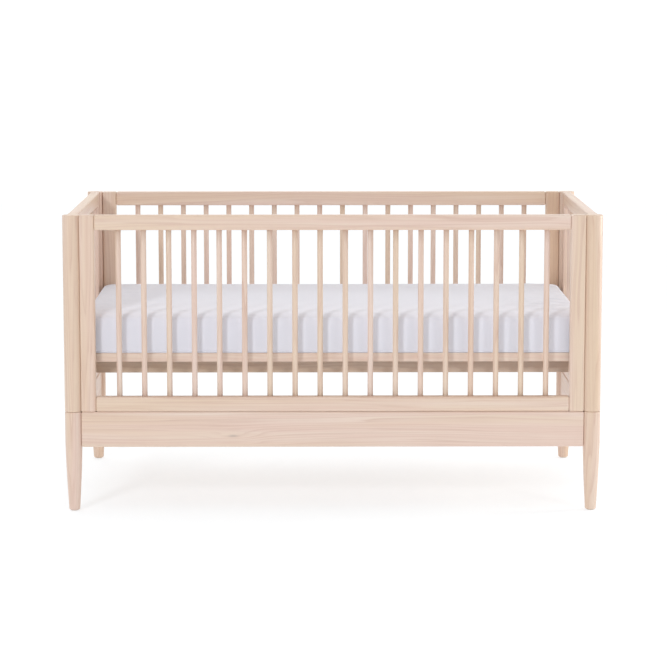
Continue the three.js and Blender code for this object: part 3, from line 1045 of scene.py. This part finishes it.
def slack(x, y, z):
    """Spare cloth, most of it at the corners and the ends."""
    from_end = mattress_half.x - abs(x)
    from_side = mattress_half.y - abs(y)
    end_pull = math.exp(-(from_end / END_GATHER) ** 2)
    corner_pull = math.exp(-((from_end / CORNER_GATHER) ** 2 + (from_side / CORNER_GATHER) ** 2))
    return min(1.0, END_SLACK * end_pull + CORNER_SLACK * corner_pull + EVEN_SLACK)


def simulate_cloth(piece):
    """Lets a cloth with spare material buckle, then keeps each point near where it started."""
    start = [v.co.copy() for v in piece.data.vertices]
    normals = [v.normal.copy() for v in piece.data.vertices]
    weights(piece, "pinned", pinned)
    weights(piece, "slack", slack)
    modifier = piece.modifiers.new("cloth", "CLOTH")
    cloth = modifier.settings
    cloth.quality, cloth.mass = CLOTH_QUALITY, CLOTH_MASS
    cloth.tension_stiffness = cloth.compression_stiffness = CLOTH_STIFFNESS
    cloth.shear_stiffness, cloth.bending_stiffness = CLOTH_SHEAR, CLOTH_BENDING
    cloth.vertex_group_mass = "pinned"
    cloth.vertex_group_shrink = "slack"
    cloth.shrink_min, cloth.shrink_max = 0.0, -CLOTH_GROWTH
    cloth.use_pressure, cloth.uniform_pressure_force = True, CLOTH_PRESSURE
    cloth.effector_weights.gravity = 0.0
    modifier.collision_settings.use_collision = False
    modifier.point_cache.frame_start, modifier.point_cache.frame_end = 1, CLOTH_FRAMES
    scene = bpy.context.scene
    for step in range(1, CLOTH_FRAMES + 1):
        scene.frame_set(step)
    apply_modifiers(piece)
    scene.frame_set(1)
    for v, home, normal in zip(piece.data.vertices, start, normals):
        move = v.co - home
        out = move.dot(normal)
        side = move - normal * out
        if side.length > CLOTH_OUT:
            side *= CLOTH_OUT / side.length
        v.co = home + side + normal * max(-CLOTH_IN, min(CLOTH_OUT, out))
    piece.vertex_groups.clear()


def crease(sheet):
    """Fine wrinkles where the elastic gathers the sheet at its two ends, fanned to the corners."""
    half, middle = mattress_half, mattress_middle
    for v in sheet.data.vertices:
        x, y = v.co.x - middle.x, v.co.y - middle.y
        if v.co.z < mattress_high.z - 2 * CROWN_DROP:
            continue
        from_end = half.x - abs(x)
        fan = y * (1.0 + WRINKLE_FAN * from_end / WRINKLE_REACH)
        place = Vector((x * WRINKLE_DRIFT, fan / WRINKLE_PITCH, WRINKLE_SEEDS[0 if x < 0 else 1]))
        ridge = max(0.0, 1 - WRINKLE_SHARPNESS * abs(noise.noise(place))) ** 2
        fade = math.exp(-(from_end / WRINKLE_REACH) ** 2)
        fade *= max(0.0, min(1.0, (half.y - abs(y)) / CROWN_REACH))
        along, across = LONG_FOLD_SCALE
        long_fold = noise.noise(Vector((x * along, y * across, LONG_FOLD_SEED)))
        v.co.z += WRINKLE_HEIGHT * fade * ridge + LONG_FOLD_HEIGHT * long_fold


def open_underside(mesh):
    """Leaves only the tuck of a sheet under the mattress."""
    bm = bmesh.new()
    bm.from_mesh(mesh)
    tucked_x, tucked_y = mattress_half.x - SHEET_TUCK, mattress_half.y - SHEET_TUCK
    gone = []
    for face in bm.faces:
        x, y, z = face.calc_center_median()
        if z < mattress_low.z + UNDERSIDE and abs(x) < tucked_x and abs(y) < tucked_y:
            gone.append(face)
    bmesh.ops.delete(bm, geom=gone, context="FACES")
    bm.to_mesh(mesh)
    bm.free()


def build_mattress():
    """The mattress core, the fitted sheet round it and the sheet's piping."""
    half = mattress_half
    core = slab("mattress_core", CORE_CLEARANCE, CORE_VOXEL, TICKING)
    core.data.shade_smooth()
    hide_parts("mattress")

    sheet = slab("fitted_sheet", 0.0, SHEET_VOXEL, COTTON)
    simulate_cloth(sheet)
    crease(sheet)
    open_underside(sheet.data)
    finer = sheet.modifiers.new("finer", "SUBSURF")
    finer.levels = finer.render_levels = 1
    apply_modifiers(sheet)
    sheet.data.shade_smooth()
    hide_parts("mattress")

    ring = plan_ring(half.x - PIPING_INSET, half.y - PIPING_INSET, PLAN_CORNER, 0.0,
                     PIPING_CORNER_STEPS)
    piping = tube("sheet_piping", ring, mattress_low.z + PIPING_RADIUS + PIPING_LIFT, PIPING_RADIUS)


def tube(name, ring, z, radius):
    """A round cord laid along a closed ring of points at height z."""
    count, sides = len(ring), PIPING_SIDES
    verts, faces = [], []
    for i, (x, y, _) in enumerate(ring):
        before, after = ring[i - 1], ring[(i + 1) % count]
        ahead = Vector((after[0] - before[0], after[1] - before[1], 0)).normalized()
        out = Vector((ahead.y, -ahead.x, 0))
        for k in range(sides):
            a = 2 * math.pi * k / sides
            verts.append(Vector((x, y, z)) + out * (radius * math.cos(a))
                         + Vector((0, 0, radius * math.sin(a))))
    for i in range(count):
        j = (i + 1) % count
        for k in range(sides):
            m = (k + 1) % sides
            faces.append((i * sides + k, i * sides + m, j * sides + m, j * sides + k))
    piece = make(name, (verts, faces), COTTON, MATTRESS, ["mattress"])
    piece.modifiers.clear()
    return piece


build_mattress()


# ---- Floor, light and camera ----

def floor_material():
    """Matt pale paper with a faint mottle, lit a little from within so that it stays near white."""
    m = Nodes("studio_paper")
    grainy = m.noise(m.place(), (3.0, 3.0, 3.0), 3.0)
    m.set(m.shader.inputs["Base Color"], m.mix(grainy, (0.468, 0.495, 0.52), (0.488, 0.515, 0.54)))
    m.plain(Roughness=0.95, Specular_IOR_Level=0.0, Emission_Strength=0.58)
    m.shader.inputs["Emission Color"].default_value = (1.0, 1.0, 1.0, 1.0)
    return m.material


def build_floor():
    """A square of studio paper, divided evenly."""
    row = FLOOR_CELLS + 1
    places = [FLOOR_HALF * (2 * i / FLOOR_CELLS - 1) for i in range(row)]
    verts = [(x, y, 0.0) for y in places for x in places]
    faces = [(j * row + i, j * row + i + 1, (j + 1) * row + i + 1, (j + 1) * row + i)
             for j in range(FLOOR_CELLS) for i in range(FLOOR_CELLS)]
    mesh = bpy.data.meshes.new("studio_floor")
    mesh.from_pydata(verts, [], faces)
    mesh.materials.append(floor_material())
    floor = bpy.data.objects.new("studio_floor", mesh)
    bpy.context.scene.collection.objects.link(floor)


def area_light(name, place, target, size, power, colour=(1, 1, 1)):
    data = bpy.data.lights.new(name, "AREA")
    data.shape, data.size, data.energy, data.color = "DISK", size, power, colour
    light = bpy.data.objects.new(name, data)
    light.location = place
    light.rotation_euler = (Vector(target) - Vector(place)).to_track_quat("-Z", "Y").to_euler()
    bpy.context.scene.collection.objects.link(light)


def build_world(horizon, zenith, backdrop, seen):
    """A white studio: bright overhead and behind the crib, dimmer in front of it."""
    world = bpy.data.worlds.new("studio")
    world.use_nodes = True
    tree = world.node_tree

    def node(kind, *inputs, **settings):
        made = tree.nodes.new(kind)
        for key, value in settings.items():
            setattr(made, key, value)
        for socket, value in zip(made.inputs, inputs):
            if isinstance(value, bpy.types.NodeSocket):
                tree.links.new(value, socket)
            else:
                socket.default_value = value
        return made

    def maths(operation, *inputs):
        return node("ShaderNodeMath", *inputs, operation=operation).outputs[0]
    direction = node("ShaderNodeTexCoord").outputs["Generated"]
    parts = node("ShaderNodeSeparateXYZ", direction)
    up = maths("MAXIMUM", parts.outputs["Z"], 0.0)
    back = maths("MAXIMUM", parts.outputs["Y"], 0.0)
    light = maths("MULTIPLY_ADD", maths("MULTIPLY", up, up), zenith, horizon)
    light = maths("MULTIPLY_ADD", back, backdrop, light)
    path = node("ShaderNodeLightPath")
    pick = node("ShaderNodeMix", path.outputs["Is Camera Ray"])
    tree.links.new(light, pick.inputs["A"])
    pick.inputs["B"].default_value = seen
    background = tree.nodes["Background"]
    tree.links.new(pick.outputs["Result"], background.inputs["Strength"])
    background.inputs["Color"].default_value = (1.0, 0.99, 0.97, 1.0)
    bpy.context.scene.world = world


def build_camera():
    """The photograph's camera, solved from its spindles, posts and feet."""
    data = bpy.data.cameras.new("studio_camera")
    data.sensor_width = CAMERA_SENSOR
    data.lens = CAMERA_LENS
    camera = bpy.data.objects.new("studio_camera", data)
    camera.location = CAMERA_PLACE
    camera.rotation_euler = (math.radians(90 + CAMERA_PITCH), 0.0, math.radians(CAMERA_YAW))
    bpy.context.scene.collection.objects.link(camera)
    bpy.context.scene.camera = camera


build_floor()
build_world(horizon=0.235, zenith=0.86, backdrop=1.0, seen=1.1)
area_light("key", (-2.7, -5.5, 2.8), target=(0.0, -0.35, 0.5), size=1.0, power=109,
           colour=(0.955, 0.975, 1.0))
area_light("fill", (2.1, -2.3, 1.3), target=(0.5, -0.2, 0.5), size=0.5, power=8)
area_light("inner_left", (2.7, 0.15, 0.85), target=(-0.7, 0.0, 0.6), size=0.8, power=20,
           colour=(1.0, 0.96, 0.86))
build_camera()
bpy.context.scene.view_settings.view_transform = "Standard"
